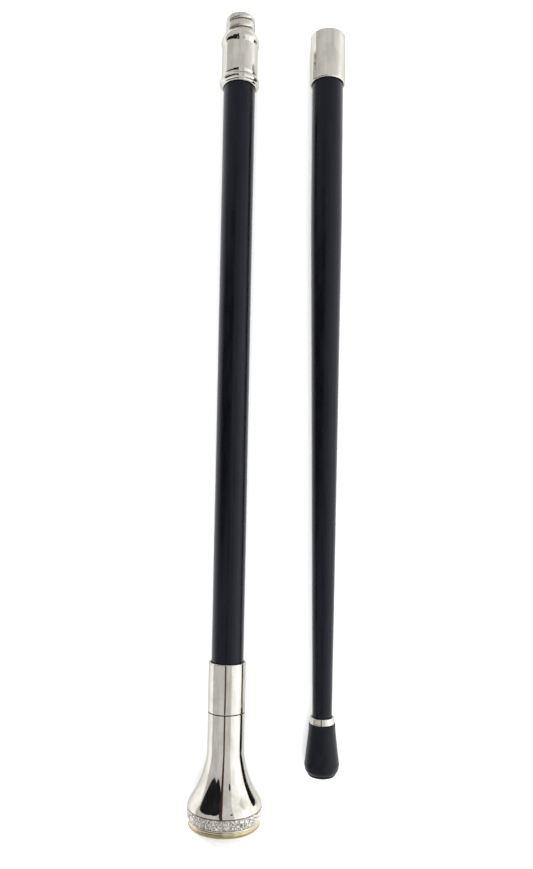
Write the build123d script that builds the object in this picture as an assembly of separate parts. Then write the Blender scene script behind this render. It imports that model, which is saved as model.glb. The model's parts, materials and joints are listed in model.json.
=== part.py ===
"""Two-piece walking cane, unscrewed at its middle joint, its two halves lying side by side on a table.

Millimetres, +Z up, table at Z = 0, +Y towards the joint ends, +X from the handle half to the lower half.
Each half is turned work, so its pieces are modelled upright about their own Z axis, as outlines of
(radius, height) revolved a full turn. Heights are counted from a datum of the half:
    handle half: the seam between knob and neck collar, heights grow towards the threaded spigot
    lower half:  the mouth of the socket, heights grow out of it, so the rubber tip is at the far negative end
"""
from build123d import *
from math import atan, atan2, cos, degrees, pi, radians, sin, sqrt, tan
import os

# ---------------------------------------------------------------- driving dimensions
SHAFT_R = 9.15             # lacquered wooden shaft of the handle half, parallel
RUN_CLEARANCE = 0.05       # radial, wherever one piece turns or slides in another

# handle half
NECK_COLLAR_R = 10.65
NECK_COLLAR_LENGTH = 28.0
HANDLE_SHAFT_VISIBLE = 331.4
JOINT_COLLAR_R = 10.35
JOINT_COLLAR_LENGTH = 30.2
JOINT_BEAD_R = 11.15       # bead beside the spigot, which rests on the table
JOINT_FOOT_BEAD_R = 11.6   # bead beside the shaft
JOINT_BEAD_DEPTH = 3.8     # from the shoulder to the middle of its bead
JOINT_BEAD_HALF = 2.6
MOUTH_RELIEF = (9.65, 1.6)  # radius and depth of the fine gap between a plain collar's mouth and the shaft

# screw joint, the same at the middle of the cane and under the knob
THREAD_R = 8.5             # crest of the rounded thread
THREAD_PITCH = 4.85
GROOVE_R = 1.1             # section of the rounded groove in a screw
RIDGE_R = 0.7              # section of the rounded ridge in a nut
THREAD_CENTRE_R = 8.75     # radius that both sections are centred on, which is the nut's plain bore too
THREAD_NECK = 1.0          # plain neck between a screw's shoulder and its thread
THREAD_NECK_R = 7.8
GROOVE_START = 0.3         # height above the neck at which the groove is started
SPIGOT_LENGTH = 11.0
SPIGOT_START = 196         # degrees, where the spigot's groove would leave its neck
KNOB_SCREW_LENGTH = 9.6
NUT_OUTER_R = 9.65
NUT_RECESS = 0.6
NUT_LENGTH = 12.0
SHANK_R = 6.0
SHANK_LENGTH = 9.0
KNOB_SHANK_LENGTH = 24.0
DOWEL_R = 3.0
DOWEL_LENGTH = 42.0
THREAD_TURNS = 2.5         # turns from a joined joint to a free one
JOINT_GAP = THREAD_TURNS * THREAD_PITCH - SPIGOT_LENGTH   # air between spigot and socket once unscrewed

# knob, with depths counted from its seam
KNOB_NECK_R = 10.5
KNOB_R = 21.5              # widest, in the middle of the embossed band
KNOB_BELL_END_R = 21.25
KNOB_WAIST_DEPTH = 22.5    # end of the straight neck
KNOB_BAND_DEPTH = 52.9     # end of the bell, start of the embossed band
KNOB_WALL = 1.3
BAND_LENGTH = 6.1
BAND_END_R = 21.0
RIM_LENGTH = 1.0           # plain rim that ends the band
BEZEL_LENGTH = 3.6
BEZEL_R = 20.8
LENS_R = 19.7
LENS_HEIGHT = 12.5
LENS_FOOT = 2.4            # straight edge of the lens inside its bezel
LENS_WALL = 2.0
LENS_SEAT_THICKNESS = 1.5

# lower half
SOCKET_COLLAR_R = 10.2
SOCKET_COLLAR_LENGTH = 27.9
LOWER_SHAFT_R = 9.0
LOWER_SHAFT_VISIBLE = 368.7
LOWER_SHAFT_PARALLEL = 79.0  # straight stretch below the socket collar, before the taper
SHAFT_TIP_R = 5.7
FERRULE_VISIBLE = 3.8
FERRULE_LENGTH = 26.0
FERRULE_R = 6.9
FERRULE_LIP_R = 7.2
RUBBER_LENGTH = 30.2
RUBBER_TOP_R = 7.75
RUBBER_R = 10.2
RUBBER_WIDEST_DEPTH = 23.7
RUBBER_SOLE_R = 8.0
WASHER_THICKNESS = 1.2

# how the halves lie
HALF_YAW = 0.63            # degrees that the handle half leans towards +X against the lower half
SOCKET_LEAD = 1.2          # how far the socket's mouth lies beyond the spigot's shoulder
HALF_SPACING = 51.1        # between the two axes at the spigot's shoulder

# ---------------------------------------------------------------- worked-out stations
NECK_MOUTH = NECK_COLLAR_LENGTH
JOINT_FOOT = NECK_MOUTH + HANDLE_SHAFT_VISIBLE
SHOULDER = JOINT_FOOT + JOINT_COLLAR_LENGTH
SPIGOT_TIP = SHOULDER + SPIGOT_LENGTH
DOWEL_TOP = SPIGOT_TIP - 3.0
SHAFT_TOP = SHOULDER - SHANK_LENGTH
SHAFT_FOOT = NUT_RECESS + NUT_LENGTH + 0.4
KNOB_WIDEST = -(KNOB_BAND_DEPTH + 2.4)
RIM_DEPTH = KNOB_BAND_DEPTH + BAND_LENGTH
BEZEL_DEPTH = RIM_DEPTH + RIM_LENGTH
LENS_DEPTH = BEZEL_DEPTH + BEZEL_LENGTH - 0.4
KNOB_LENGTH = LENS_DEPTH + LENS_HEIGHT
COLLAR_FOOT = -SOCKET_COLLAR_LENGTH
TAPER_TOP = COLLAR_FOOT - LOWER_SHAFT_PARALLEL
FERRULE_TOP = COLLAR_FOOT - LOWER_SHAFT_VISIBLE
RUBBER_TOP = FERRULE_TOP - FERRULE_VISIBLE
FERRULE_FOOT = FERRULE_TOP - FERRULE_LENGTH
SOLE = RUBBER_TOP - RUBBER_LENGTH


# ---------------------------------------------------------------- turned work
def at(radius, height):
    """A point of a half outline, in the plane that is revolved."""
    return Vector(radius, 0, height)


def line(*points):
    """Straight runs of an outline through (radius, height) points."""
    return Polyline(*[at(*point) for point in points])


def curve(*points, tangents=None):
    """A smooth run of an outline through (radius, height) points."""
    if tangents:
        tangents = [at(*tangent) for tangent in tangents]
    return Spline(*[at(*point) for point in points], tangents=tangents)


def arc(start, middle, end):
    """A round run of an outline."""
    return ThreePointArc(at(*start), at(*middle), at(*end))


def bead(radius, low, high, swell):
    """A half-round bead between two heights on a barrel of the given radius."""
    return arc((radius, low), (swell, (low + high) / 2), (radius, high))


def turned(*runs):
    """The solid that a closed outline sweeps about the Z axis."""
    return revolve(make_face(Wire(Curve() + list(runs)).edges()), Axis.Z)


def rod(radius, low, high):
    """A plain round bar."""
    return Pos(0, 0, low) * Cylinder(radius, high - low, align=(Align.CENTER, Align.CENTER, Align.MIN))


def helix_bar(section_r, low, high, phase):
    """A round bar wound along the thread, passing the angle phase at height 0."""
    path = Helix(THREAD_PITCH, high - low, THREAD_CENTRE_R)
    start = Plane(path @ 0, z_dir=path % 0)
    coil = sweep(start * Circle(section_r), path=path, is_frenet=True)
    return Pos(0, 0, low) * Rot(0, 0, phase + 360 * low / THREAD_PITCH) * coil


def screw(length):
    """Thick rounded thread on a plain neck; its groove passes angle 0 where it leaves the neck."""
    blank = rod(THREAD_R, 0, length - THREAD_NECK)
    blank = fillet(blank.edges().sort_by(Axis.Z)[-1], 1.6)
    threads = blank - helix_bar(GROOVE_R, GROOVE_START, length - THREAD_NECK + THREAD_PITCH, 0)
    return rod(THREAD_NECK_R, 0, THREAD_NECK) + Pos(0, 0, THREAD_NECK) * threads


def nut(low, high, phase):
    """Thin-walled bush with a round ridge that runs in the screw's groove."""
    bush = rod(NUT_OUTER_R, low, high) - rod(THREAD_CENTRE_R, low, high)
    inset = RIDGE_R + 0.35
    return bush + helix_bar(RIDGE_R, low + inset, high - inset, phase)


# ---------------------------------------------------------------- handle half
def make_upper_shaft():
    """Black wooden shaft, drilled at its top for the spigot's shank and dowel."""
    dowel_low = DOWEL_TOP - DOWEL_LENGTH - THREAD_TURNS * THREAD_PITCH - 0.4
    return rod(SHAFT_R, SHAFT_FOOT, SHAFT_TOP) - rod(DOWEL_R + RUN_CLEARANCE, dowel_low, SHAFT_TOP)


def make_joint_collar():
    """Collar with a bead at each end, closed at its shoulder around the spigot's shank."""
    bead_low = SHOULDER - JOINT_BEAD_DEPTH - JOINT_BEAD_HALF
    bead_high = SHOULDER - JOINT_BEAD_DEPTH + JOINT_BEAD_HALF
    outline = [
        line((SHAFT_R, JOINT_FOOT), (JOINT_COLLAR_R - 0.7, JOINT_FOOT)),
        arc((JOINT_COLLAR_R - 0.7, JOINT_FOOT), (JOINT_COLLAR_R - 0.1, JOINT_FOOT + 0.35),
            (JOINT_COLLAR_R + 0.1, JOINT_FOOT + 1.0)),
        bead(JOINT_COLLAR_R + 0.1, JOINT_FOOT + 1.0, JOINT_FOOT + 4.4, JOINT_FOOT_BEAD_R),
        line((JOINT_COLLAR_R + 0.1, JOINT_FOOT + 4.4), (JOINT_COLLAR_R - 0.25, JOINT_FOOT + 5.1),
             (JOINT_COLLAR_R, JOINT_FOOT + 6.1), (JOINT_COLLAR_R, bead_low)),
        bead(JOINT_COLLAR_R, bead_low, bead_high, JOINT_BEAD_R),
        arc((JOINT_COLLAR_R, bead_high), (JOINT_COLLAR_R - 0.5, SHOULDER - 0.4),
            (JOINT_COLLAR_R - 1.4, SHOULDER)),
        line((JOINT_COLLAR_R - 1.4, SHOULDER), (SHANK_R, SHOULDER), (SHANK_R, SHAFT_TOP),
             (SHAFT_R, SHAFT_TOP), (SHAFT_R, JOINT_FOOT)),
    ]
    return turned(*outline)


def make_joint_screw():
    """Threaded spigot and the shank that holds it in the collar, bored for the dowel."""
    threads = Pos(0, 0, SHOULDER) * Rot(0, 0, SPIGOT_START) * screw(SPIGOT_LENGTH)
    spigot = threads + rod(SHANK_R, SHAFT_TOP, SHOULDER)
    return spigot - rod(DOWEL_R + RUN_CLEARANCE, SHAFT_TOP, DOWEL_TOP + 0.2)


def make_joint_dowel():
    """Steel dowel that lines the spigot up with the shaft."""
    dowel = rod(DOWEL_R, DOWEL_TOP - DOWEL_LENGTH, DOWEL_TOP)
    return chamfer(dowel.edges().filter_by(GeomType.CIRCLE), 0.5)


def make_neck_collar():
    """Plain tube over the shaft, with a fine gap at its mouth and a wider bore for the nut."""
    relief_r, relief_depth = MOUTH_RELIEF
    outline = [
        line((NUT_OUTER_R, 0), (NECK_COLLAR_R - 0.25, 0)),
        arc((NECK_COLLAR_R - 0.25, 0), (NECK_COLLAR_R - 0.07, 0.07), (NECK_COLLAR_R, 0.25)),
        line((NECK_COLLAR_R, 0.25), (NECK_COLLAR_R, NECK_MOUTH - 0.5)),
        arc((NECK_COLLAR_R, NECK_MOUTH - 0.5), (NECK_COLLAR_R - 0.15, NECK_MOUTH - 0.15),
            (NECK_COLLAR_R - 0.5, NECK_MOUTH)),
        line((NECK_COLLAR_R - 0.5, NECK_MOUTH), (relief_r, NECK_MOUTH),
             (relief_r, NECK_MOUTH - relief_depth), (SHAFT_R, NECK_MOUTH - relief_depth),
             (SHAFT_R, SHAFT_FOOT), (NUT_OUTER_R, SHAFT_FOOT), (NUT_OUTER_R, 0)),
    ]
    return turned(*outline)


def make_neck_nut():
    return nut(NUT_RECESS, NUT_RECESS + NUT_LENGTH, -360 * THREAD_NECK / THREAD_PITCH)


# ---------------------------------------------------------------- knob
def bell(offset):
    """The bell's curve from the straight neck to its widest, moved in by offset."""
    neck = KNOB_NECK_R - offset
    wide = KNOB_BELL_END_R - offset
    start = (neck, -KNOB_WAIST_DEPTH)
    middle = [(neck + 0.9, -28.9), (neck + 3.4, -37.9), (neck + 7.3, -45.7)]
    return curve(start, *middle, (wide, -KNOB_BAND_DEPTH), tangents=((0, -1), (0, -1)))


def make_knob_shell():
    """Spun metal bell with a closed end at the seam, where the screw's shank passes."""
    end_wall = 1.5
    inner_neck = KNOB_NECK_R - KNOB_WALL
    outline = [
        line((SHANK_R, 0), (KNOB_NECK_R, 0), (KNOB_NECK_R, -KNOB_WAIST_DEPTH)),
        bell(0),
        line((KNOB_BELL_END_R, -KNOB_BAND_DEPTH), (KNOB_BELL_END_R - KNOB_WALL, -KNOB_BAND_DEPTH)),
        bell(KNOB_WALL),
        line((inner_neck, -KNOB_WAIST_DEPTH), (inner_neck, -end_wall), (SHANK_R, -end_wall), (SHANK_R, 0)),
    ]
    return turned(*outline)


def make_knob_core():
    """Hard filling that stiffens the bell and holds the screw."""
    end_wall = 1.5
    inner_neck = KNOB_NECK_R - KNOB_WALL
    outline = [
        line((0, -KNOB_SHANK_LENGTH), (SHANK_R, -KNOB_SHANK_LENGTH), (SHANK_R, -end_wall),
             (inner_neck, -end_wall), (inner_neck, -KNOB_WAIST_DEPTH)),
        bell(KNOB_WALL),
        line((KNOB_BELL_END_R - KNOB_WALL, -KNOB_BAND_DEPTH), (0, -KNOB_BAND_DEPTH),
             (0, -KNOB_SHANK_LENGTH)),
    ]
    return turned(*outline)


def make_knob_screw():
    """Screw of the knob, with a shank that the core holds."""
    return screw(KNOB_SCREW_LENGTH) + rod(SHANK_R, -KNOB_SHANK_LENGTH, 0)


def make_embossed_band():
    """Ring below the bell with its plain rim; the relief itself is finer than this model."""
    inner = KNOB_BELL_END_R - KNOB_WALL - 1.2
    groove_r = KNOB_BELL_END_R - 0.35
    outline = [
        line((inner, -KNOB_BAND_DEPTH), (groove_r, -KNOB_BAND_DEPTH), (groove_r, -KNOB_BAND_DEPTH - 0.35),
             (KNOB_BELL_END_R, -KNOB_BAND_DEPTH - 0.7)),
        arc((KNOB_BELL_END_R, -KNOB_BAND_DEPTH - 0.7), (KNOB_R, KNOB_WIDEST), (BAND_END_R, -RIM_DEPTH)),
        arc((BAND_END_R, -RIM_DEPTH), (BAND_END_R + 0.2, -RIM_DEPTH - RIM_LENGTH / 2),
            (BAND_END_R, -BEZEL_DEPTH)),
        line((BAND_END_R, -BEZEL_DEPTH), (inner, -BEZEL_DEPTH), (inner, -KNOB_BAND_DEPTH)),
    ]
    return turned(*outline)


def make_dome_bezel():
    """Brass ring of two beads that holds the lens."""
    half = BEZEL_LENGTH / 2
    inner = LENS_R
    top = -BEZEL_DEPTH
    outline = [
        line((inner, top), (BEZEL_R - 0.35, top)),
        bead(BEZEL_R - 0.35, top, top - half, BEZEL_R),
        bead(BEZEL_R - 0.35, top - half, top - 2 * half, BEZEL_R - 0.1),
        line((BEZEL_R - 0.35, top - 2 * half), (inner, top - 2 * half), (inner, top)),
    ]
    return turned(*outline)


def lens_cap(radius, depth, height):
    """Half outline of a spherical cap, from its rim to its crown."""
    sphere = (radius ** 2 + height ** 2) / (2 * height)
    mid_drop = height / 3
    mid_r = sqrt(sphere ** 2 - (sphere - mid_drop) ** 2)
    return arc((radius, -depth), (mid_r, -depth - height + mid_drop), (0, -depth - height))


def make_dome_lens():
    """Glass cap with a straight foot in the bezel, hollow behind."""
    foot = LENS_DEPTH - LENS_FOOT
    inner_r = LENS_R - LENS_WALL
    outline = [
        line((inner_r, -foot), (LENS_R, -foot), (LENS_R, -LENS_DEPTH)),
        lens_cap(LENS_R, LENS_DEPTH, LENS_HEIGHT),
        line((0, -LENS_DEPTH - LENS_HEIGHT), (0, -LENS_DEPTH - LENS_HEIGHT + LENS_WALL)),
        lens_cap(inner_r, LENS_DEPTH, LENS_HEIGHT - LENS_WALL),
        line((inner_r, -LENS_DEPTH), (inner_r, -foot)),
    ]
    return turned(*outline)


def make_lens_seat():
    """Pale disc behind the lens."""
    top = BEZEL_DEPTH + 0.05
    return rod(LENS_R - LENS_WALL - 0.1, -top - LENS_SEAT_THICKNESS, -top)


# ---------------------------------------------------------------- lower half
def make_lower_shaft():
    """Tapered wooden shaft, parallel at its top and turned straight inside the ferrule."""
    outline = [
        line((0, -SHAFT_FOOT), (LOWER_SHAFT_R, -SHAFT_FOOT), (LOWER_SHAFT_R, TAPER_TOP),
             (SHAFT_TIP_R, FERRULE_TOP), (SHAFT_TIP_R, FERRULE_FOOT), (0, FERRULE_FOOT),
             (0, -SHAFT_FOOT)),
    ]
    return turned(*outline)


def make_socket_collar():
    """Plain tube over the shaft and its nut, softly rounded at both rims."""
    mouth_edge = 0.9
    foot_edge = 0.6
    shaft_stop = -SHAFT_FOOT
    bore = LOWER_SHAFT_R + RUN_CLEARANCE
    outline = [
        line((NUT_OUTER_R, 0), (SOCKET_COLLAR_R - mouth_edge / 2, 0)),
        arc((SOCKET_COLLAR_R - mouth_edge / 2, 0), (SOCKET_COLLAR_R - 0.12, -0.35),
            (SOCKET_COLLAR_R, -mouth_edge)),
        line((SOCKET_COLLAR_R, -mouth_edge), (SOCKET_COLLAR_R, COLLAR_FOOT + foot_edge)),
        arc((SOCKET_COLLAR_R, COLLAR_FOOT + foot_edge), (SOCKET_COLLAR_R - 0.18, COLLAR_FOOT + 0.18),
            (SOCKET_COLLAR_R - foot_edge, COLLAR_FOOT)),
        line((SOCKET_COLLAR_R - foot_edge, COLLAR_FOOT), (bore, COLLAR_FOOT), (bore, shaft_stop),
             (NUT_OUTER_R, shaft_stop), (NUT_OUTER_R, 0)),
    ]
    return turned(*outline)


def make_joint_nut(phase):
    bush = nut(-NUT_RECESS - NUT_LENGTH, -NUT_RECESS, phase)
    return bush & rod(NUT_OUTER_R - RUN_CLEARANCE, -NUT_RECESS - NUT_LENGTH, -NUT_RECESS)


def make_tip_ferrule():
    """Metal cup over the shaft's end, flared a little where it shows above the rubber."""
    outline = [
        line((SHAFT_TIP_R, FERRULE_TOP), (FERRULE_R - 0.25, FERRULE_TOP)),
        arc((FERRULE_R - 0.25, FERRULE_TOP), (FERRULE_R - 0.07, FERRULE_TOP - 0.07),
            (FERRULE_R, FERRULE_TOP - 0.25)),
        line((FERRULE_R, FERRULE_TOP - 0.25), (FERRULE_LIP_R, RUBBER_TOP + 0.5), (FERRULE_LIP_R, RUBBER_TOP),
             (FERRULE_R, RUBBER_TOP), (FERRULE_R, FERRULE_FOOT), (SHAFT_TIP_R, FERRULE_FOOT),
             (SHAFT_TIP_R, FERRULE_TOP)),
    ]
    return turned(*outline)


def make_rubber_tip():
    """Flared rubber foot with a rounded edge, hollow for the ferrule and the washer."""
    cavity_r = FERRULE_R + RUN_CLEARANCE
    cavity_floor = FERRULE_FOOT - WASHER_THICKNESS
    widest = RUBBER_TOP - RUBBER_WIDEST_DEPTH
    outline = [
        line((cavity_r, RUBBER_TOP), (RUBBER_TOP_R - 0.35, RUBBER_TOP)),
        arc((RUBBER_TOP_R - 0.35, RUBBER_TOP), (RUBBER_TOP_R - 0.1, RUBBER_TOP - 0.1),
            (RUBBER_TOP_R, RUBBER_TOP - 0.35)),
        line((RUBBER_TOP_R, RUBBER_TOP - 0.35), (RUBBER_TOP_R + 0.1, RUBBER_TOP - 4.2),
             (RUBBER_R - 0.25, widest + 1.5)),
        arc((RUBBER_R - 0.25, widest + 1.5), (RUBBER_R, widest), (RUBBER_R - 0.25, widest - 1.5)),
        arc((RUBBER_R - 0.25, widest - 1.5), (RUBBER_R - 1.0, SOLE + 1.7), (RUBBER_SOLE_R, SOLE)),
        line((RUBBER_SOLE_R, SOLE), (0, SOLE), (0, cavity_floor), (cavity_r, cavity_floor),
             (cavity_r, RUBBER_TOP)),
    ]
    return turned(*outline)


def make_tip_washer():
    """Steel washer on the floor of the rubber tip's hollow, which spreads the load."""
    return rod(FERRULE_R, FERRULE_FOOT - WASHER_THICKNESS, FERRULE_FOOT) - rod(
        2.2, FERRULE_FOOT - WASHER_THICKNESS, FERRULE_FOOT)


# ---------------------------------------------------------------- how the halves lie and join
def half_frames():
    """Planes of the handle half and the lower half at rest, each with Z along its own axis."""
    span = SHOULDER - JOINT_BEAD_DEPTH - KNOB_WIDEST
    pitch = atan((KNOB_R - JOINT_BEAD_R) / span)
    yaw = radians(HALF_YAW)
    handle_axis = Vector(sin(yaw) * cos(pitch), cos(yaw) * cos(pitch), -sin(pitch))
    seam_height = KNOB_R * cos(pitch) + KNOB_WIDEST * sin(pitch)
    handle = Plane(origin=(0, 0, seam_height), x_dir=(1, 0, 0), z_dir=handle_axis)
    shoulder = handle.origin + handle_axis * SHOULDER
    mouth = Vector(shoulder.X + HALF_SPACING, shoulder.Y + SOCKET_LEAD, SOCKET_COLLAR_R)
    lower = Plane(origin=mouth, x_dir=(1, 0, 0), z_dir=(0, 1, 0))
    return handle, lower


def swing_hinge(handle, lower):
    """Axis, fixed point and angle of the turn that brings the lower half in line, just off the spigot."""
    start_axis = -lower.z_dir
    end_axis = handle.z_dir
    start = lower.origin
    end = handle.origin + handle.z_dir * (SPIGOT_TIP + JOINT_GAP)
    axis = (end_axis - start_axis).cross(end - start).normalized()
    start_flat = start_axis - axis * start_axis.dot(axis)
    end_flat = end_axis - axis * end_axis.dot(axis)
    angle = atan2(axis.dot(start_flat.cross(end_flat)), start_flat.dot(end_flat))
    if angle < 0:
        angle += 2 * pi
    pivot = (start + end) * 0.5 + axis.cross(end - start) * (0.5 / tan(angle / 2))
    return axis, pivot, degrees(angle)


def nut_phase(handle, lower):
    """Angle of the socket's thread at which it meets the spigot's when the halves are screwed home."""
    axis, pivot, angle = swing_hinge(handle, lower)
    swung = Vector(lower.x_dir).rotate(Axis((0, 0, 0), axis), angle)
    spun = swung.rotate(Axis((0, 0, 0), handle.z_dir), 360 * THREAD_TURNS)
    across = handle.z_dir.cross(handle.x_dir)
    turned_by = degrees(atan2(spun.dot(across), spun.dot(handle.x_dir)))
    return turned_by - SPIGOT_START + 360 * THREAD_NECK / THREAD_PITCH


def build():
    """Every node at rest in the cane's own frame, with the two planes that place its halves."""
    handle, lower = half_frames()
    handle_pieces = {
        "upper_shaft": make_upper_shaft(),
        "joint_collar": make_joint_collar(),
        "joint_screw": make_joint_screw(),
        "joint_dowel": make_joint_dowel(),
        "neck_collar": make_neck_collar(),
        "neck_nut": make_neck_nut(),
        "knob_screw": make_knob_screw(),
        "knob_shell": make_knob_shell(),
        "knob_core": make_knob_core(),
        "embossed_band": make_embossed_band(),
        "dome_bezel": make_dome_bezel(),
        "dome_lens": make_dome_lens(),
        "lens_seat": make_lens_seat(),
    }
    lower_pieces = {
        "lower_shaft": make_lower_shaft(),
        "socket_collar": make_socket_collar(),
        "joint_nut": make_joint_nut(nut_phase(handle, lower)),
        "tip_ferrule": make_tip_ferrule(),
        "rubber_tip": make_rubber_tip(),
        "tip_washer": make_tip_washer(),
    }
    placed = {name: handle.location * piece for name, piece in handle_pieces.items()}
    placed.update({name: lower.location * piece for name, piece in lower_pieces.items()})
    box = Compound(children=[piece.moved(Location()) for piece in placed.values()]).bounding_box()
    centre = Location((-box.center().X, -box.center().Y, 0))
    planes = [Plane(centre * plane.location) for plane in (handle, lower)]
    return {name: centre * piece for name, piece in placed.items()}, *planes


def main():
    os.makedirs("parts", exist_ok=True)
    pieces, handle, lower = build()
    for name, piece in pieces.items():
        export_step(piece, f"parts/{name}.step")


main()
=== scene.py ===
"""Looks of a two-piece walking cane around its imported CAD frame: turned metal, lacquer, rubber and glass.

Profiles are in millimetres, in the frame of the half that a piece belongs to: Z runs along the half towards
its joint end, and height 0 is the knob's seam on the handle half and the socket's mouth on the lower half.
Stations are read from the CAD nodes, so every piece lies where the frame puts it.
"""

import json
import math

import bmesh
import bpy
from mathutils import Matrix, Vector, noise


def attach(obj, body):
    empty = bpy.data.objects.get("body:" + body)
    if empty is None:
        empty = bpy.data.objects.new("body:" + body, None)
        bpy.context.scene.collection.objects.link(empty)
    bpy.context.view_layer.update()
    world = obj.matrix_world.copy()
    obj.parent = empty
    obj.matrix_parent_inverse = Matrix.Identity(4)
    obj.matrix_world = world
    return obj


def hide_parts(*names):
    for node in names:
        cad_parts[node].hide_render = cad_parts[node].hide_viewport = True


MM = 0.001
TURN = 2 * math.pi
SHANK_R = 6.0              # shanks of both screws
GAP = 0.05                 # keeps a piece clear of the one that it meets

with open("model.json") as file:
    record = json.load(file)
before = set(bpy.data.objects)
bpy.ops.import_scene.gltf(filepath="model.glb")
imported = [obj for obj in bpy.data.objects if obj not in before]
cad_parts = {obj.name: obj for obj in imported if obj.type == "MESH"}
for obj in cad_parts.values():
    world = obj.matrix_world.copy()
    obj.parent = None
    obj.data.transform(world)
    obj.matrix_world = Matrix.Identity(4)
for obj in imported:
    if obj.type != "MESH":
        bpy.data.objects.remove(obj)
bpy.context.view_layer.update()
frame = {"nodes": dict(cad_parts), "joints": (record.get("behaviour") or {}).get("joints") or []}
joints = {joint["name"]: joint for joint in frame["joints"]}


# ---------------------------------------------------------------- the two halves and their stations
def half_matrix(origin, axis):
    """Frame of a half: Z along its axis, X level and to the right as the axis points away."""
    z_dir = Vector(axis).normalized()
    x_dir = (Vector((1, 0, 0)) - z_dir * z_dir.x).normalized()
    y_dir = z_dir.cross(x_dir)
    matrix = Matrix((x_dir, y_dir, z_dir)).transposed().to_4x4()
    matrix.translation = Vector(origin)
    return matrix


HANDLE = half_matrix(joints["knob_turn"]["pos_m"], -Vector(joints["knob_turn"]["axis"]))
LOWER = half_matrix(joints["joint_turn"]["pos_m"], joints["joint_turn"]["axis"])


def span(node, half):
    """Lowest and highest station of a CAD node along its half, and its largest radius, in millimetres."""
    inverse = half.inverted()
    points = [inverse @ vertex.co for vertex in frame["nodes"][node].data.vertices]
    heights = [point.z for point in points]
    radius = max(math.hypot(point.x, point.y) for point in points)
    return min(heights) / MM, max(heights) / MM, radius / MM


# ---------------------------------------------------------------- outlines
def arc(start, end, bulge, steps=10):
    """Points of a circular arc from start to end that bulges to the left of its chord by bulge."""
    (r0, z0), (r1, z1) = start, end
    chord = math.hypot(r1 - r0, z1 - z0)
    if abs(bulge) < 1e-6:
        return [start, end]
    radius = (chord * chord / 4 + bulge * bulge) / (2 * abs(bulge))
    side = 1 if bulge > 0 else -1
    nr, nz = -(z1 - z0) / chord * side, (r1 - r0) / chord * side
    back = radius - abs(bulge)
    cr, cz = (r0 + r1) / 2 - nr * back, (z0 + z1) / 2 - nz * back
    first = math.atan2(z0 - cz, r0 - cr)
    last = math.atan2(z1 - cz, r1 - cr)
    sweep = (last - first + math.pi) % TURN - math.pi
    return [(cr + radius * math.cos(first + sweep * i / steps),
             cz + radius * math.sin(first + sweep * i / steps)) for i in range(steps + 1)]


def bell_curve(points, steps=10, rounds=60):
    """Points of the smoothest curve through (radius, height) points that starts and ends along the axis."""
    slopes = [0.0] * len(points)
    for _ in range(rounds):
        for k in range(1, len(points) - 1):
            (r0, z0), (r1, z1), (r2, z2) = points[k - 1:k + 2]
            before, after = z1 - z0, z2 - z1
            pull = 3 * ((r1 - r0) / before ** 2 + (r2 - r1) / after ** 2)
            slopes[k] = (pull - slopes[k - 1] / before - slopes[k + 1] / after) / (2 / before + 2 / after)
    out = []
    for k in range(len(points) - 1):
        (r0, z0), (r1, z1) = points[k:k + 2]
        long = z1 - z0
        for i in range(steps):
            t = i / steps
            r = (r0 * (1 + 2 * t) * (1 - t) ** 2 + slopes[k] * long * t * (1 - t) ** 2
                 + r1 * t * t * (3 - 2 * t) + slopes[k + 1] * long * t * t * (t - 1))
            out.append((r, z0 + long * t))
    out.append(points[-1])
    return out


def run(start, end, step):
    """Points of a straight stretch, one every step millimetres."""
    count = max(1, round(math.hypot(end[0] - start[0], end[1] - start[1]) / step))
    return [(start[0] + (end[0] - start[0]) * i / count, start[1] + (end[1] - start[1]) * i / count)
            for i in range(count + 1)]


def joined(*stretches):
    """One outline from stretches, without the points that repeat where two meet."""
    out = []
    for stretch in stretches:
        for point in stretch:
            if not out or math.hypot(point[0] - out[-1][0], point[1] - out[-1][1]) > 1e-4:
                out.append(point)
    return out


# ---------------------------------------------------------------- meshes
SHARP_EDGE = math.radians(38)


def turned_mesh(outline, segments, shape):
    """Rings of vertices about Z joined by faces; shape(angle, radius, height) moves each vertex."""
    mesh = bmesh.new()
    rings = []
    for radius, height in outline:
        if radius < 1e-6:
            rings.append([mesh.verts.new((0, 0, height * MM))])
            continue
        ring = []
        for i in range(segments):
            angle = TURN * i / segments
            r, z = shape(angle, radius, height) if shape else (radius, height)
            ring.append(mesh.verts.new((r * math.cos(angle) * MM, r * math.sin(angle) * MM, z * MM)))
        rings.append(ring)
    ends_on_axis = len(rings[0]) == 1 and len(rings[-1]) == 1
    pairs = list(zip(rings, rings[1:])) + ([] if ends_on_axis else [(rings[-1], rings[0])])
    for low, high in pairs:
        for i in range(segments):
            j = (i + 1) % segments
            corners = []
            for vertex in (low[i % len(low)], low[j % len(low)], high[j % len(high)], high[i % len(high)]):
                if vertex not in corners:
                    corners.append(vertex)
            mesh.faces.new(corners)
    bmesh.ops.recalc_face_normals(mesh, faces=mesh.faces)
    for face in mesh.faces:
        face.smooth = True
    return mesh


def mark_painted_shade(data, painted_shade):
    """Stores how much painted shade, from 0 to 1, lies on each vertex."""
    marks = data.attributes.new("painted_shade", "FLOAT", "POINT").data
    for vertex, mark in zip(data.vertices, marks):
        x, y, height = vertex.co / MM
        mark.value = painted_shade(math.atan2(y, x), math.hypot(x, y), height)


def lathe(name, half, outline, body, finish, replaced, segments=160, shape=None, painted_shade=None):
    """A piece turned from an outline of (radius, height), in place of the CAD nodes in replaced."""
    mesh = turned_mesh(outline, segments, shape)
    data = bpy.data.meshes.new(name)
    mesh.to_mesh(data)
    mesh.free()
    data.set_sharp_from_angle(angle=SHARP_EDGE)
    if painted_shade:
        mark_painted_shade(data, painted_shade)
    piece = bpy.data.objects.new(name, data)
    bpy.context.scene.collection.objects.link(piece)
    piece.matrix_world = half
    data.materials.append(finish)
    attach(piece, body)
    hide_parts(*replaced)


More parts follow.
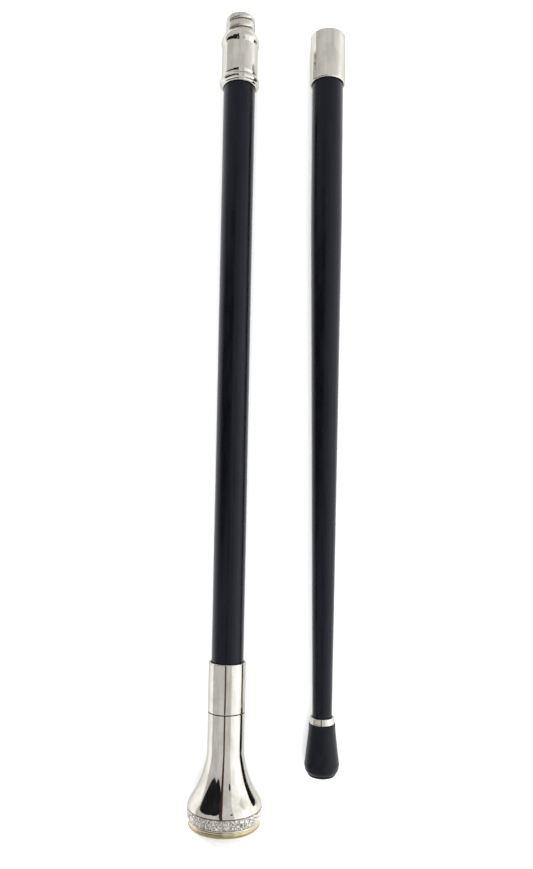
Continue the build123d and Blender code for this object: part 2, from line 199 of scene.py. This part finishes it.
def ripple(amount, length, seed):
    """Shape of hand-polished metal: radii that wander by amount over waves of the given length."""
    drawn_out = 0.45       # waves are this much slower along the axis

    def shape(angle, radius, height):
        spot = Vector((radius * math.cos(angle), radius * math.sin(angle), height * drawn_out)) / length
        return radius + amount * noise.noise(spot + Vector((seed, seed, seed))), height
    return shape


# ---------------------------------------------------------------- materials
# Brown painted shade, blended into polished metal in seams, thread grooves and over the gilt ring's groove
# and lower bead.
PAINTED_SHADE_BROWN = (0.06, 0.032, 0.017)


class Nodes:
    """Short calls for one material's node tree."""

    def __init__(self, name):
        self.material = bpy.data.materials.new(name)
        self.material.use_nodes = True
        self.tree = self.material.node_tree
        self.shader = self.tree.nodes["Principled BSDF"]
        self.place = self.add("ShaderNodeTexCoord").outputs["Object"]

    def add(self, kind, inputs=None, **settings):
        """A new node, with each of its inputs linked to a socket or set to a value."""
        node = self.tree.nodes.new(kind)
        for key, value in settings.items():
            setattr(node, key, value)
        for key, value in (inputs or {}).items():
            if isinstance(value, bpy.types.NodeSocket):
                self.tree.links.new(value, node.inputs[key])
            else:
                node.inputs[key].default_value = value
        return node

    def set(self, **values):
        """Links or sets inputs of the shader; an underscore stands for a space."""
        for key, value in values.items():
            socket = self.shader.inputs[key.replace("_", " ")]
            if isinstance(value, bpy.types.NodeSocket):
                self.tree.links.new(value, socket)
            else:
                socket.default_value = value

    def noise(self, stretch, detail=3.0, rough=0.55):
        """Noise over the piece's own coordinates, with a number of waves per metre along X, Y and Z."""
        spot = self.add("ShaderNodeMapping", {"Vector": self.place, "Scale": stretch}).outputs["Vector"]
        return self.add("ShaderNodeTexNoise", {"Vector": spot, "Scale": 1.0, "Detail": detail,
                                              "Roughness": rough}).outputs["Fac"]

    def remap(self, value, low, high, to_low, to_high):
        """A value spread from low and high to the new limits, and held between them."""
        return self.add("ShaderNodeMapRange", {"Value": value, "From Min": low, "From Max": high,
                                               "To Min": to_low, "To Max": to_high}).outputs["Result"]

    def blend(self, factor, first, second):
        """A colour between two, each a socket or (red, green, blue)."""
        node = self.add("ShaderNodeMix", data_type="RGBA")
        self.tree.links.new(factor, node.inputs["Factor"])
        first_colour, second_colour, result = node.inputs[6], node.inputs[7], node.outputs[2]
        for socket, value in ((first_colour, first), (second_colour, second)):
            if isinstance(value, bpy.types.NodeSocket):
                self.tree.links.new(value, socket)
            else:
                socket.default_value = (*value, 1)
        return result

    def painted_shade(self):
        """The painted shade marked on the piece's vertices, from 0 to 1."""
        return self.add("ShaderNodeAttribute", attribute_name="painted_shade").outputs["Fac"]

    def bump(self, *layers):
        """Stacked bumps of (height, strength, distance in millimetres)."""
        normal = None
        for height, strength, distance in layers:
            inputs = {"Height": height, "Strength": strength, "Distance": distance * MM}
            if normal is not None:
                inputs["Normal"] = normal
            normal = self.add("ShaderNodeBump", inputs).outputs["Normal"]
        self.tree.links.new(normal, self.shader.inputs["Normal"])


def polished_metal(name, colour, tarnish, roughness, wear, edge=0.6):
    """Plated metal buffed by hand: drawn-out streaks, warm clouds of tarnish, fine hoops and small pits, with
    brown painted shade where the piece is marked for it.

    wear adds to the roughness, and edge is how bright the metal stays where it is seen at a low angle.
    """
    n = Nodes(name)
    hoops = n.noise((160, 160, 9000), 4)
    streaks = n.noise((420, 420, 45), 4, 0.6)
    cloud = n.noise((150, 150, 90), 4, 0.6)
    specks = n.noise((2600, 2600, 2600), 2)
    stained = n.blend(n.remap(cloud, 0.42, 0.72, 0.0, 1.0), colour, tarnish)
    dulled = tuple(0.85 * part for part in tarnish)
    clean = n.blend(n.remap(streaks, 0.45, 0.78, 0.0, 0.7), stained, dulled)
    # Painted shade: the brown colour darkens the metal where the piece's shade mark is high.
    n.set(Metallic=1.0, Base_Color=n.blend(n.painted_shade(), clean, PAINTED_SHADE_BROWN))
    fine = n.remap(hoops, 0.3, 0.75, roughness, roughness + wear)
    haze = n.remap(cloud, 0.45, 0.8, 0.0, wear * 1.2)
    n.set(Roughness=n.add("ShaderNodeMath", {0: fine, 1: haze}, operation="ADD").outputs[0])
    n.set(Specular_Tint=(edge, edge, 0.97 * edge, 1))
    n.bump((hoops, 0.04, 0.01), (streaks, 0.05, 0.02), (specks, 0.03, 0.01))
    return n.material


def relief_metal(name, colour, recess):
    """The embossed band's metal: bright on top, darkened by painted shade where its own shade mark is high,
    in the relief's recesses and the groove above it.
    """
    n = Nodes(name)
    mark = n.painted_shade()
    dust = n.noise((1300, 1300, 1300), 4)
    uneven = n.remap(dust, 0.3, 0.7, -0.2, 0.2)
    shade_and_dust = n.add("ShaderNodeMath", {0: mark, 1: uneven}, operation="ADD").outputs[0]
    # Painted shade: the recess colour darkens the relief's hollows, with some random dust over it.
    n.set(Metallic=1.0, Base_Color=n.blend(n.remap(shade_and_dust, 0.25, 0.95, 0.0, 1.0), colour, recess))
    n.set(Roughness=n.remap(shade_and_dust, 0.1, 1.0, 0.18, 0.42))
    n.bump((dust, 0.15, 0.04))
    return n.material


def lacquer(name):
    """Black satin lacquer over wood: faint long grain, brush marks, dust and small rubs."""
    n = Nodes(name)
    grain = n.noise((900, 900, 22), 5, 0.6)
    rubs = n.noise((300, 300, 60), 4, 0.65)
    dust = n.noise((5200, 5200, 5200), 1)
    tone = n.remap(rubs, 0.4, 0.75, 0.0, 1.0)
    n.set(Base_Color=n.blend(tone, (0.0022, 0.0022, 0.0034), (0.0045, 0.0045, 0.006)))
    n.set(Roughness=n.remap(rubs, 0.3, 0.75, 0.23, 0.33), Specular_IOR_Level=0.22,
          Specular_Tint=(0.77, 0.83, 1.0, 1))
    n.bump((grain, 0.12, 0.05), (dust, 0.05, 0.02))
    return n.material


def moulded_rubber(name):
    """Near-black rubber with a fine moulded skin, scuffs and a bluish bloom."""
    n = Nodes(name)
    skin = n.noise((4200, 4200, 4200), 3)
    scuffs = n.noise((240, 240, 420), 5, 0.65)
    tone = n.remap(scuffs, 0.4, 0.78, 0.0, 1.0)
    n.set(Base_Color=n.blend(tone, (0.0014, 0.0015, 0.0024), (0.005, 0.0052, 0.007)))
    n.set(Roughness=n.remap(scuffs, 0.3, 0.8, 0.34, 0.5), Specular_IOR_Level=0.2,
          Specular_Tint=(0.8, 0.88, 1.0, 1))
    n.bump((skin, 0.22, 0.05), (scuffs, 0.1, 0.08))
    return n.material


def milky_glass(name):
    """Slightly milky glass with a warm tint and a few fine scratches."""
    n = Nodes(name)
    scratches = n.noise((1400, 90, 900), 2)
    n.set(Base_Color=(0.75, 0.74, 0.70, 1), Transmission_Weight=0.4, IOR=1.5)
    n.set(Roughness=n.remap(scratches, 0.62, 0.8, 0.03, 0.1))
    n.bump((scratches, 0.02, 0.01))
    return n.material


def pearl(name, pale, cloudy):
    """Smooth cast surface with a soft sheen and faint clouds."""
    n = Nodes(name)
    cloud = n.noise((240, 240, 240), 4)
    n.set(Base_Color=n.blend(cloud, pale, cloudy))
    n.set(Roughness=n.remap(cloud, 0.3, 0.7, 0.35, 0.5), Sheen_Weight=0.1)
    n.bump((cloud, 0.05, 0.05))
    return n.material


SILVER = polished_metal("nickel_silver", (0.605, 0.59, 0.545), (0.50, 0.475, 0.41), 0.03, 0.06)
# The relief's second colour is painted shade for its recesses.
RELIEF = relief_metal("relief_silver", (0.70, 0.675, 0.625), (0.15, 0.132, 0.105))
THREAD = polished_metal("thread_steel", (0.60, 0.58, 0.55), (0.50, 0.46, 0.41), 0.14, 0.12, 0.4)
GILT = polished_metal("dull_gilt", (0.62, 0.54, 0.34), (0.50, 0.42, 0.25), 0.2, 0.08)
BRASS = polished_metal("turned_brass", (0.66, 0.52, 0.26), (0.47, 0.36, 0.18), 0.22, 0.16)
STEEL = polished_metal("zinc_steel", (0.56, 0.57, 0.58), (0.42, 0.42, 0.42), 0.28, 0.16)
LACQUER = lacquer("black_lacquer")
RUBBER = moulded_rubber("black_rubber")
GLASS = milky_glass("milky_glass")
PEARL = pearl("pale_pearl", (0.86, 0.845, 0.79), (0.78, 0.77, 0.73))
CORE = pearl("cast_core", (0.40, 0.38, 0.34), (0.30, 0.285, 0.26))


# ---------------------------------------------------------------- shafts
SHAFT_STEP = 3.0
SHAFT_CHAMFER = 0.3
LOWER_PARALLEL = 79.0      # straight stretch of the lower shaft before its taper
SHAFT_TIP_R = 5.7


def handle_shaft():
    """Parallel lacquered wood, a little out of round, with softened ends."""
    low, high, radius = span("upper_shaft", HANDLE)
    side = run((radius, low + SHAFT_CHAMFER), (radius, high - SHAFT_CHAMFER), SHAFT_STEP)
    outline = joined([(0, low), (radius - SHAFT_CHAMFER, low)], side,
                     [(radius - SHAFT_CHAMFER, high), (0, high)])
    lathe("handle_shaft", HANDLE, outline, "handle", LACQUER, ["upper_shaft"],
          shape=ripple(0.05, 18, 3.1))


def tapered_shaft():
    """Lacquered wood that tapers from under the socket collar to the ferrule."""
    low, high, radius = span("lower_shaft", LOWER)
    collar_foot = span("socket_collar", LOWER)[0]
    ferrule_high = span("tip_ferrule", LOWER)[1]
    taper_top = collar_foot - LOWER_PARALLEL
    outline = joined([(0, low), (SHAFT_TIP_R - SHAFT_CHAMFER, low)],
                     run((SHAFT_TIP_R, low + SHAFT_CHAMFER), (SHAFT_TIP_R, ferrule_high), SHAFT_STEP),
                     run((SHAFT_TIP_R, ferrule_high), (radius, taper_top), SHAFT_STEP),
                     run((radius, taper_top), (radius, high - SHAFT_CHAMFER), SHAFT_STEP),
                     [(radius - SHAFT_CHAMFER, high), (0, high)])
    lathe("tapered_shaft", LOWER, outline, "lower", LACQUER, ["lower_shaft"],
          shape=ripple(0.03, 18, 8.4))


handle_shaft()
tapered_shaft()


# ---------------------------------------------------------------- collars
RECESS = 0.4               # width of the dark gap between a collar's rim and the shaft


def tube(name, node, half, body, bore, edge, seed, mouth=(0, 0), foot=(0, 0), painted_shade=None):
    """A polished tube with softly rounded rims; mouth and foot give the radius and depth of a recess."""
    low, high, radius = span(node, half)
    high -= GAP
    rim = arc((radius, high - edge), (radius - edge, high), -0.3 * edge)
    base = arc((radius - edge, low), (radius, low + edge), -0.3 * edge)
    inside = [(max(bore, mouth[0]), high), (max(bore, mouth[0]), high - mouth[1]), (bore, high - mouth[1]),
              (bore, low + foot[1]), (max(bore, foot[0]), low + foot[1]), (max(bore, foot[0]), low)]
    outline = joined(base, run((radius, low + edge), (radius, high - edge), 1.2), rim, inside)
    lathe(name, half, outline, body, SILVER, [node],
          shape=ripple(0.035, 9, seed), painted_shade=painted_shade)


SHAFT_R = span("upper_shaft", HANDLE)[2]
LOWER_R = span("lower_shaft", LOWER)[2]
# The neck tube's rim at the knob seam carries painted shade.
tube("neck_tube", "neck_collar", HANDLE, "handle", SHAFT_R, 0.45, 1.7, mouth=(SHAFT_R + 0.5, 1.6),
     painted_shade=lambda angle, radius, height: 1.0 if height < 0.2 else 0.0)
tube("socket_tube", "socket_collar", LOWER, "socket", LOWER_R + GAP, 0.7, 5.2, foot=(LOWER_R + RECESS, 1.2))


def joint_collar():
    """Collar with a bead and cove at each end."""
    low, high, widest = span("joint_collar", HANDLE)
    barrel = 10.35
    swell = 0.8
    bead_r = barrel + 0.1
    rim, bead_top, barrel_low = low + 1.0, low + 4.4, low + 6.1
    barrel_high, swell_top = high - 6.4, high - 1.2
    outline = joined(
        [(SHAFT_R, rim), (SHAFT_R + RECESS, rim), (SHAFT_R + RECESS, low)],
        arc((SHAFT_R + RECESS, low), (bead_r, rim), -0.25),
        arc((bead_r, rim), (bead_r, bead_top), bead_r - widest, 16),
        arc((bead_r, bead_top), (barrel, barrel_low), 0.3),
        run((barrel, barrel_low), (barrel, barrel_high), 1.2),
        arc((barrel, barrel_high), (barrel, swell_top), -swell, 18),
        arc((barrel, swell_top), (barrel - 1.4, high), -0.4),
        [(SHANK_R, high), (SHANK_R, high - 3), (SHAFT_R, high - 3)])
    lathe("joint_collar_turned", HANDLE, outline, "handle", SILVER, ["joint_collar"],
          shape=ripple(0.03, 8, 2.9))


joint_collar()


def ferrule():
    """Metal cup over the shaft's end, inside the rubber but for a slightly flared lip."""
    low, high, radius = span("tip_ferrule", LOWER)
    lip = span("rubber_tip", LOWER)[1] + 0.04
    inner = SHAFT_TIP_R
    cup_r = radius - 0.36
    outline = joined(
        [(inner, low + GAP), (cup_r, low + GAP), (cup_r, lip)],
        arc((radius, lip), (radius, lip + 0.66), -0.08, 4),
        arc((radius, lip + 0.66), (radius - 0.3, high - 0.35), 0.06, 8),
        arc((radius - 0.3, high - 0.35), (radius - 0.65, high), -0.12, 5),
        [(inner + 0.35, high), (inner + 0.35, high - 1.2), (inner, high - 1.2)])
    lathe("ferrule_cup", LOWER, outline, "lower", SILVER, ["tip_ferrule"],
          shape=ripple(0.02, 6, 7.7))


ferrule()


# ---------------------------------------------------------------- screw joint
PITCH = 4.85
THREAD_R = 8.5
GROOVE_TURN = math.radians(196)      # where the groove leaves the plain neck
NECK = 1.0                 # height of that neck over the collar's shoulder
GROOVE_DEPTH = 1.15
GROOVE_RUN_IN = 0.5


def threaded(base_height, length):
    """Shape of a thick thread with round crests and tight grooves, as the CAD groove runs."""
    core_r = THREAD_R - 2.2

    def shape(angle, radius, height):
        along = height - base_height
        if not GAP < along < length + 1 or radius < core_r:
            return radius, height
        wave = ((along - NECK) / PITCH - (angle - GROOVE_TURN) / TURN) % 1.0
        off_crest = abs(2 * wave - 1)
        fade = min(1.0, max(0.0, along / GROOVE_RUN_IN))
        return radius - GROOVE_DEPTH * fade * (0.2 * off_crest ** 2.4 + 0.8 * off_crest ** 7), height
    return shape


def spigot():
    """Threaded spigot with a domed tip, and its shank."""
    low, high, radius = span("joint_screw", HANDLE)
    shoulder = span("joint_collar", HANDLE)[1]
    thread_foot = shoulder - 0.4
    rounding = 1.8
    outline = joined(
        [(0, low), (SHANK_R, low), (SHANK_R, thread_foot)],
        run((radius, thread_foot), (radius, high - rounding), 0.1),
        arc((radius, high - rounding), (radius - rounding, high), -0.52, 14),
        run((radius - rounding, high), (0, high), 1.0))

    def painted_shade(angle, r, height):
        """Painted shade that deepens towards the bottom of the grooves."""
        shaded_below = 7.95
        return max(0.0, min(1.0, (shaded_below - r) / 0.5)) if height < high - 2 else 0.0
    lathe("spigot", HANDLE, outline, "handle", THREAD, ["joint_screw"], 192,
          shape=threaded(shoulder, high - shoulder), painted_shade=painted_shade)


spigot()


# ---------------------------------------------------------------- knob
SEAM = 0.3                 # half width of the dark groove between knob and neck collar


def knob():
    """Hollow bell on its straight neck, with painted shade in the seam against the neck collar."""
    low, high, radius = span("knob_shell", HANDLE)
    neck = 10.5
    wall = 1.3
    waist = -22.5
    end_wall = 1.5
    edge = high - SEAM - 0.25
    bell = bell_curve([(neck, waist), (neck + 0.9, -28.9), (neck + 3.4, -37.9), (neck + 7.3, -45.7),
                       (radius, low)])
    outline = joined(
        [(SHANK_R, high), (neck - 0.55, high), (neck - 0.5, high - SEAM * 0.7)],
        arc((neck - 0.2, high - SEAM), (neck, edge), 0.08, 4),
        run((neck, edge), (neck, waist), 1.0),
        bell, [(r - wall, height) for r, height in bell[::-1]],
        [(neck - wall, high - end_wall), (SHANK_R, high - end_wall)])
    # Painted shade on the knob's rim at the seam.
    lathe("knob_bell", HANDLE, outline, "knob", SILVER, ["knob_shell"], 224,
          shape=ripple(0.07, 13, 4.4),
          painted_shade=lambda angle, r, height: 1.0 if height > high - SEAM - 0.1 else 0.0)


knob()


LEAVES = 66                # leaves around the band
RELIEF_DEPTH = 0.42


def band_relief(angle, across):
    """Height, from 0 to 1, of worn foliage: uneven leaves parted by fine crossing cuts, and small pits.

    across runs over the band's face from 0 to 1, with a shallow groove beside each end.
    """
    if not 0.05 < across < 0.95:
        return 0.35 if 0.02 < across < 0.98 else 1.0
    about = Vector((math.cos(angle) * 13, math.sin(angle) * 13, across * 1.6))
    wander = 1.5 * noise.noise(about) + 0.5 * noise.noise(about * 2.7)
    around = angle / TURN * LEAVES + wander
    rising = abs((around + 1.3 * across) % 1.0 - 0.5) * 2
    falling = abs((around * 0.83 - 1.7 * across + 0.4) % 1.0 - 0.5) * 2
    pit = math.hypot((around * 1.21) % 1.0 - 0.5, (across * 3.0 + wander) % 1.0 - 0.5)
    leaf = min(rising / 0.5, falling / 0.42 + 0.25, pit / 0.3 + 0.1, 1.0)
    grain = 0.5 + 0.5 * noise.noise(about * 3.4)
    return max(0.0, min(1.0, leaf * (0.62 + 0.6 * grain)))


def embossed_band():
    """Slightly crowned ring of worn foliage between a fine groove darkened with painted shade and a plain
    rim.
    """
    low, high, radius = span("embossed_band", HANDLE)
    rim = low + 0.5
    inner = radius - 2.5
    start_r, end_r = 21.2, 21.0
    top, foot = high - 0.4, rim + 0.1
    crown = radius - 0.04 - (start_r + end_r) / 2
    face = arc((start_r, top), (end_r - 0.05, foot), crown, 48)
    outline = joined(
        [(inner, high), (start_r - 0.4, high), (start_r - 0.4, high - 0.25)], face,
        [(end_r - 0.3, rim + 0.05)], arc((end_r - 0.05, rim), (end_r - 0.1, low), -0.1, 6), [(inner, low)])

    def lift(angle, height):
        return band_relief(angle, (height - foot) / (top - foot))

    def shape(angle, r, height):
        on_face = foot - 0.01 < height < top + 0.01
        return (r - RELIEF_DEPTH * (1 - lift(angle, height)) if on_face else r), height

    # Painted shade: full in the groove above the face, and in the relief's recesses as deep as they sink.
    def painted_shade(angle, r, height):
        if height > top:
            return 1.0
        return 1 - lift(angle, height) if height > foot - 0.01 else 0.0
    lathe("relief_band", HANDLE, outline, "knob", RELIEF, ["embossed_band"], 840,
          shape=shape, painted_shade=painted_shade)


embossed_band()


def bezel():
    """Gilt ring of a thin upper bead and a wider lower one, around the dome."""
    low, high, radius = span("dome_bezel", HANDLE)
    waist = high - (high - low) * 0.36
    inner = 19.7
    outline = joined(
        [(inner, high)], arc((radius - 0.4, high), (radius - 0.3, waist), 0.35, 12),
        arc((radius - 0.3, waist), (radius - 0.75, low), 0.45, 14), [(inner, low)])

    def painted_shade(angle, r, height):
        """Painted shade in the groove above the ring, and a film of painted shade that deepens over its lower
        bead.
        """
        down = (high - height) / (high - low)
        return 0.7 if down < 0.1 else 0.5 * max(0.0, min(1.0, (down - 0.35) / 0.25))
    lathe("gilt_ring", HANDLE, outline, "knob_end", GILT, ["dome_bezel"], 200,
          shape=ripple(0.03, 7, 9.2), painted_shade=painted_shade)


bezel()


def cap(radius, rim, depth, steps=40):
    """Outline of a spherical cap, from its crown up to its rim."""
    ball = (radius ** 2 + depth ** 2) / (2 * depth)
    reach = math.asin(radius / ball)
    return [(ball * math.sin(reach * i / steps), rim - depth + ball * (1 - math.cos(reach * i / steps)))
            for i in range(steps + 1)]


def dome():
    """Hollow glass cap on a straight foot."""
    low, high, radius = span("dome_lens", HANDLE)
    foot = 2.4
    wall = 2.0
    rim = high - foot
    outline = joined(cap(radius, rim, rim - low), [(radius, high), (radius - wall, high)],
                     cap(radius - wall, rim, rim - low - wall)[::-1])
    lathe("glass_dome", HANDLE, outline, "knob_end", GLASS, ["dome_lens"], 160)


dome()


# ---------------------------------------------------------------- rubber foot
def rubber_foot():
    """Flared foot with a rounded edge and a fine raised line beside its sole."""
    low, high, radius = span("rubber_tip", LOWER)
    top_r = 7.75
    sole_r = 8.0
    widest = high - 23.7
    flare_r = radius - 0.25
    flare_low, flare_high = widest - 1.5, widest + 1.5
    cavity = 6.95
    floor = span("tip_washer", LOWER)[0]
    outline = joined(
        [(0, low), (sole_r - 0.5, low)], arc((sole_r - 0.5, low), (sole_r + 0.15, low + 0.7), -0.12, 5),
        arc((sole_r + 0.15, low + 0.7), (sole_r + 0.42, low + 1.5), -0.16, 6),
        arc((sole_r + 0.42, low + 1.6), (flare_r, flare_low), -0.42, 12),
        arc((flare_r, flare_low), (flare_r, flare_high), -0.25, 8),
        run((flare_r, flare_high), (top_r + 0.1, high - 4.2), 1.2),
        arc((top_r + 0.1, high - 4.2), (top_r, high - 0.5), 0.05, 6),
        arc((top_r, high - 0.5), (top_r - 0.5, high), -0.15, 5),
        [(cavity, high), (cavity, floor), (0, floor)])
    lathe("rubber_foot", LOWER, outline, "tip", RUBBER, ["rubber_tip"], shape=ripple(0.04, 7, 6.1))


rubber_foot()


# ---------------------------------------------------------------- CAD nodes that stay
for node, finish in {"joint_dowel": STEEL, "neck_nut": BRASS, "joint_nut": BRASS, "knob_screw": THREAD,
                     "knob_core": CORE, "lens_seat": PEARL, "tip_washer": STEEL}.items():
    materials = frame["nodes"][node].data.materials
    materials.clear()
    materials.append(finish)


# ---------------------------------------------------------------- floor, lights and camera
def plain(name, colour, roughness=0.9):
    """A flat colour for the studio's own surfaces."""
    material = bpy.data.materials.new(name)
    material.use_nodes = True
    shader = material.node_tree.nodes["Principled BSDF"]
    shader.inputs["Base Color"].default_value = (*colour, 1)
    shader.inputs["Roughness"].default_value = roughness
    shader.inputs["Specular IOR Level"].default_value = 0.2
    return material


DARK_CLOTH = (0.004, 0.004, 0.007)


def studio_plane(name, width, length, location, colour, tilt=0.0):
    """A flat sheet of the studio, tilted in degrees about X."""
    bpy.ops.mesh.primitive_plane_add(size=1, location=location)
    sheet = bpy.context.object
    sheet.name = name
    sheet.scale = (width, length, 1)
    sheet.rotation_euler.x = math.radians(tilt)
    sheet.data.materials.append(plain(name, colour))
    return sheet


def studio_blob(name, radii, location, colour):
    """A rounded dark mass of the studio, such as someone beside the camera."""
    bpy.ops.mesh.primitive_uv_sphere_add(segments=64, ring_count=32, radius=1, location=location)
    blob = bpy.context.object
    blob.name = name
    blob.scale = radii
    blob.data.materials.append(plain(name, colour))
    return blob


def only_mirrored(thing):
    """Keeps a dark part of the studio out of the picture and the light, so only the metal mirrors it."""
    for kind in ("camera", "diffuse", "shadow", "transmission"):
        setattr(thing, "visible_" + kind, False)


def area_lamp(name, width, length, location, power):
    """A rectangular lamp that shines straight down."""
    data = bpy.data.lights.new(name, "AREA")
    data.shape = "RECTANGLE"
    data.size = width
    data.size_y = length
    data.energy = power
    lamp = bpy.data.objects.new(name, data)
    bpy.context.scene.collection.objects.link(lamp)
    lamp.location = location
    return lamp


def white_tent(levels):
    """World of a white light tent; levels are (side, brightness) from -1, its -X side, to 1, its +X side."""
    strength = 2.0         # keeps the ramp's colours under 1
    world = bpy.data.worlds.new("light_tent")
    bpy.context.scene.world = world
    world.use_nodes = True
    tree = world.node_tree
    split = tree.nodes.new("ShaderNodeSeparateXYZ")
    tree.links.new(tree.nodes.new("ShaderNodeTexCoord").outputs["Generated"], split.inputs[0])
    spread = tree.nodes.new("ShaderNodeMapRange")
    spread.inputs["From Min"].default_value = -1.0
    tree.links.new(split.outputs["X"], spread.inputs["Value"])
    ramp = tree.nodes.new("ShaderNodeValToRGB")
    tree.links.new(spread.outputs["Result"], ramp.inputs["Fac"])
    stops = ramp.color_ramp.elements
    while len(stops) < len(levels):
        stops.new(0.5)
    for stop, (side, level) in zip(stops, levels):
        stop.position = 0.5 + side / 2
        stop.color = (level / strength, level / strength, level / strength, 1)
    background = tree.nodes["Background"]
    background.inputs["Strength"].default_value = strength
    tree.links.new(ramp.outputs["Color"], background.inputs["Color"])


studio_plane("table_top", 6, 6, (0, 0, 0), (0.93, 0.935, 0.945))
overhead = area_lamp("overhead_softbox", 1.8, 1.8, (0.0, 0.0, 1.5), 26)
overhead.visible_glossy = False      # it lights the table evenly and the metal doesn't mirror it
white_tent([(-1.0, 0.82), (-0.8, 0.78), (-0.45, 0.88), (0.35, 0.87),
            (0.6, 1.0), (0.8, 1.15), (0.92, 1.9), (1.0, 1.9)])
area_lamp("side_window", 1.7, 1.1, (1.06, -0.15, 0.4), 3.0)
only_mirrored(studio_plane("tent_seam", 0.13, 1.09, (-0.125, -0.075, 0.75), (0.05, 0.022, 0.014), tilt=-15.9))
only_mirrored(studio_blob("photographer", (0.20, 0.20, 0.26), (-0.43, 0.08, 0.29), DARK_CLOTH))
only_mirrored(studio_blob("photographer_arm", (0.17, 0.24, 0.04), (-0.30, 0.16, 0.52), DARK_CLOTH))
only_mirrored(studio_blob("tripod_knob", (0.038, 0.046, 0.03), (0.2, 0.0, 0.5), (0.01, 0.008, 0.006)))

CAMERA_HEIGHT = 0.44
CAMERA_FOOT = (0.0, -0.034)          # point of the table straight under the lens
CAMERA_ROLL = 0.5                    # degrees
SENSOR = 36
FOCAL_SHARE = 0.84638                # focal length as a share of the sensor's long side
RISE = 0.0591                        # upward shift of the lens, as a share of that side
camera_data = bpy.data.cameras.new("camera")
camera_data.sensor_width = SENSOR
camera_data.lens = SENSOR * FOCAL_SHARE
camera_data.shift_y = RISE
camera_data.clip_start = 0.01
camera = bpy.data.objects.new("camera", camera_data)
bpy.context.scene.collection.objects.link(camera)
camera.location = (*CAMERA_FOOT, CAMERA_HEIGHT)
camera.rotation_euler = (0, 0, math.radians(CAMERA_ROLL))
bpy.context.scene.camera = camera
bpy.context.scene.view_settings.view_transform = "Standard"
